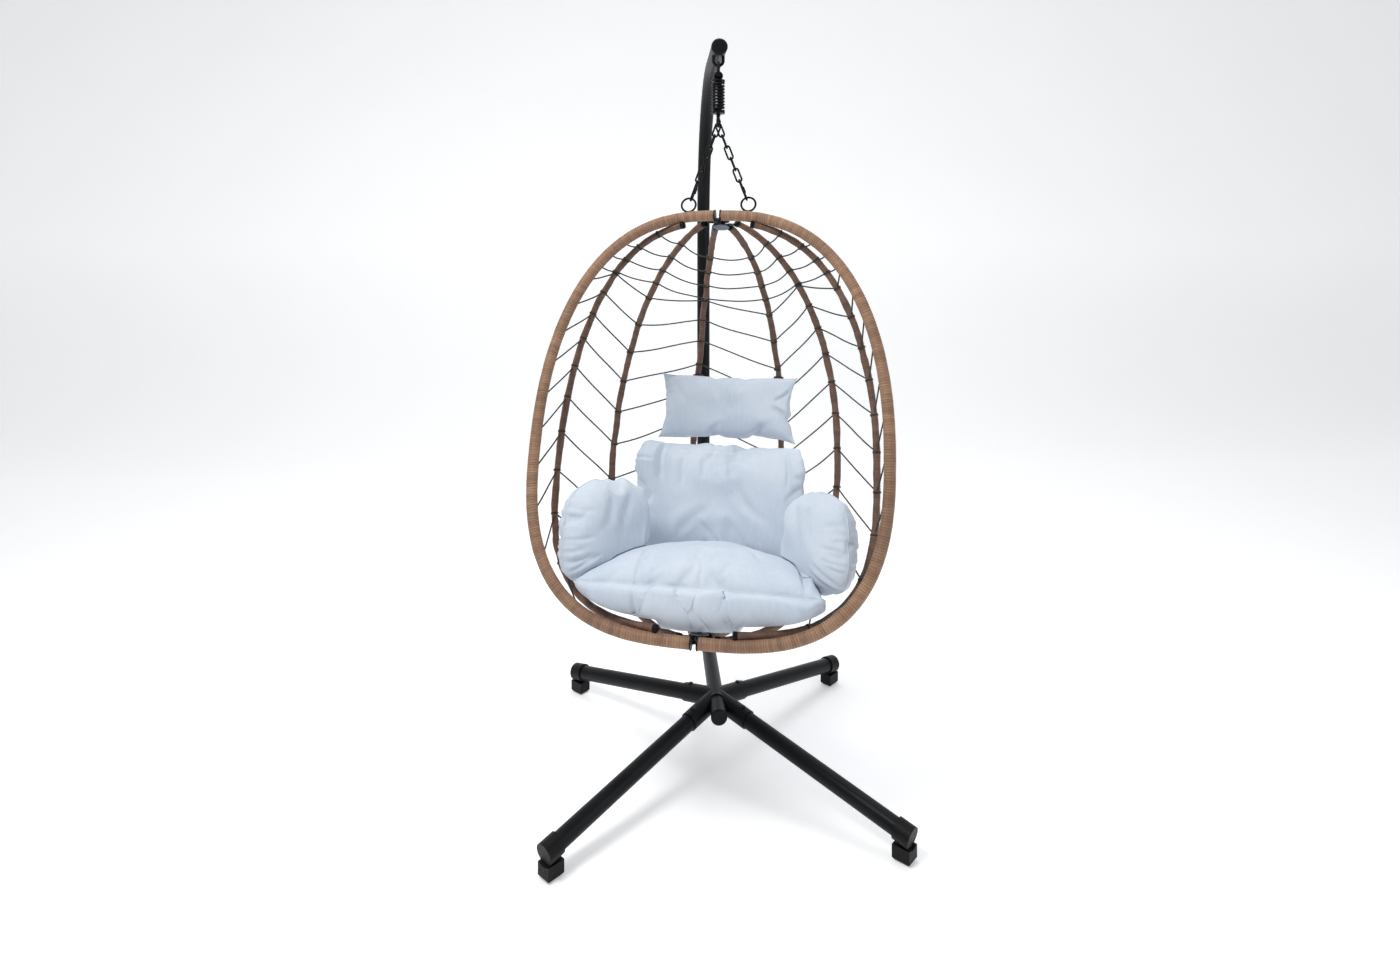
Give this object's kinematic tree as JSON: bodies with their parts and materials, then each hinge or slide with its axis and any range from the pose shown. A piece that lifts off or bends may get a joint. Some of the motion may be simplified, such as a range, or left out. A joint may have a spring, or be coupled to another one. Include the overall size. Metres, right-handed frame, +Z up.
{
  "type": "hanging egg chair",
  "caption": "Hanging egg chair: a tubular stand, a spring and chains, and a cushioned basket of wrapped ribs that folds like a fan.",
  "frame": {"origin": "on the floor, under the middle of the whole chair's box", "axes": "+Z up, the stand's upright stands towards +Y, and the basket's mouth looks towards -Y, turned 15 degrees clockwise seen from above"},
  "size_m": [0.9191, 0.9964, 1.9455],
  "materials": {
    "stand_coat": "satin",
    "black_plastic": "satin",
    "bolt_steel": "satin",
    "hardware_black": "satin",
    "disc_grey": "satin",
    "rim_wrap": "matte",
    "rib_wrap": "matte",
    "string_cord": "matte",
    "cushion_cloth": "matte",
    "strap_webbing": "matte"
  },
  "bodies": {
    "stand": {"lower_pole": "stand_coat", "middle_pole": "stand_coat", "upper_pole": "stand_coat", "hub_sockets": "stand_coat", "leg_front_left": "stand_coat", "leg_front_right": "stand_coat", "leg_rear_left": "stand_coat", "leg_rear_right": "stand_coat", "foot_front_left": "black_plastic", "foot_front_right": "black_plastic", "foot_rear_left": "black_plastic", "foot_rear_right": "black_plastic", "leg_bolts": "bolt_steel", "pole_bolts": "bolt_steel", "pole_top_cap": "black_plastic", "pole_bottom_cap": "black_plastic", "hanger_eye": "stand_coat"},
    "top_shackle": {"top_shackle": "hardware_black"},
    "spring_unit": {"spring_top_plug": "hardware_black", "spring": "hardware_black"},
    "spring_foot": {"spring_foot_plug": "hardware_black"},
    "basket": {"swivel_hook": "hardware_black", "chain_left": "hardware_black", "chain_right": "hardware_black", "quick_link_left": "hardware_black", "quick_link_right": "hardware_black", "quick_sleeve_left": "hardware_black", "quick_sleeve_right": "hardware_black", "top_disc": "disc_grey", "foot_disc": "disc_grey", "strings_3": "string_cord", "seat_cushion": "cushion_cloth", "back_cushion": "cushion_cloth", "arm_cushion_left": "cushion_cloth", "arm_cushion_right": "cushion_cloth", "head_pillow": "cushion_cloth"},
    "left_half": {"rim_ring_left": "hardware_black", "rim_left": "rim_wrap", "rim_arms_left": "hardware_black", "rib_1": "rib_wrap", "strings_0": "string_cord"},
    "right_half": {"rim_ring_right": "hardware_black", "rim_right": "rim_wrap", "rim_arms_right": "hardware_black", "rib_6": "rib_wrap", "strings_6": "string_cord"},
    "rib_2_fan": {"rib_2": "rib_wrap", "rib_2_tabs": "hardware_black", "strings_1": "string_cord"},
    "rib_3_fan": {"rib_3": "rib_wrap", "rib_3_tabs": "hardware_black", "strings_2": "string_cord", "pillow_strap_left": "strap_webbing"},
    "rib_4_fan": {"rib_4": "rib_wrap", "rib_4_tabs": "hardware_black", "strings_4": "string_cord", "pillow_strap_right": "strap_webbing"},
    "rib_5_fan": {"rib_5": "rib_wrap", "rib_5_tabs": "hardware_black", "strings_5": "string_cord"}
  },
  "joints": [
    {"name": "swing", "type": "hinge", "parent": "stand", "child": "top_shackle", "pos_m": [0.027, -0.122, 1.883], "axis": [1, 0, 0], "range_deg": [-20, 4]},
    {"name": "sway", "type": "hinge", "parent": "top_shackle", "child": "spring_unit", "pos_m": [0.027, -0.122, 1.8573], "axis": [0, 1, 0], "range_deg": [-10, 10]},
    {"name": "bounce", "type": "slide", "parent": "spring_unit", "child": "spring_foot", "axis": [0, 0, -1], "range_m": [0, 0.05], "stiffness_N_per_m": 20000, "springref_m": -0.015, "deforming": ["spring"]},
    {"name": "twist", "type": "hinge", "parent": "spring_foot", "child": "basket", "pos_m": [0.027, -0.122, 1.7602], "axis": [0, 0, 1], "range_deg": [-60, 60]},
    {"name": "fold", "type": "hinge", "parent": "basket", "child": "left_half", "pos_m": [-0.00405, -0.23787, 0.92526], "axis": [-0.0757, -0.2824, -0.9563], "range_deg": [0, 45], "deforming": ["chain_left", "quick_link_left", "quick_sleeve_left", "strings_3", "seat_cushion", "back_cushion", "arm_cushion_left", "head_pillow"]},
    {"name": "rib_2_fold", "type": "hinge", "parent": "left_half", "child": "rib_2_fan", "pos_m": [-0.00405, -0.23787, 0.92526], "axis": [0.0757, 0.2824, 0.9563], "range_deg": [0, 17.1], "deforming": ["strings_1"]},
    {"name": "rib_3_fold", "type": "hinge", "parent": "rib_2_fan", "child": "rib_3_fan", "pos_m": [-0.00405, -0.23787, 0.92526], "axis": [0.0757, 0.2824, 0.9563], "range_deg": [0, 19.8], "deforming": ["strings_2"]},
    {"name": "right_fold", "type": "hinge", "parent": "basket", "child": "right_half", "pos_m": [-0.00405, -0.23787, 0.92526], "axis": [0.0757, 0.2824, 0.9563], "range_deg": [0, 45], "deforming": ["chain_right", "quick_link_right", "quick_sleeve_right", "arm_cushion_right"]},
    {"name": "rib_5_fold", "type": "hinge", "parent": "right_half", "child": "rib_5_fan", "pos_m": [-0.00405, -0.23787, 0.92526], "axis": [-0.0757, -0.2824, -0.9563], "range_deg": [0, 17.1], "deforming": ["strings_5"]},
    {"name": "rib_4_fold", "type": "hinge", "parent": "rib_5_fan", "child": "rib_4_fan", "pos_m": [-0.00405, -0.23787, 0.92526], "axis": [-0.0757, -0.2824, -0.9563], "range_deg": [0, 19.8], "deforming": ["strings_4"]}
  ],
  "couplings": [
    {"joint": "rib_2_fold", "follows": "fold", "ratio": 0.38},
    {"joint": "rib_3_fold", "follows": "fold", "ratio": 0.44},
    {"joint": "right_fold", "follows": "fold", "ratio": 1},
    {"joint": "rib_5_fold", "follows": "fold", "ratio": 0.38},
    {"joint": "rib_4_fold", "follows": "fold", "ratio": 0.44}
  ]
}
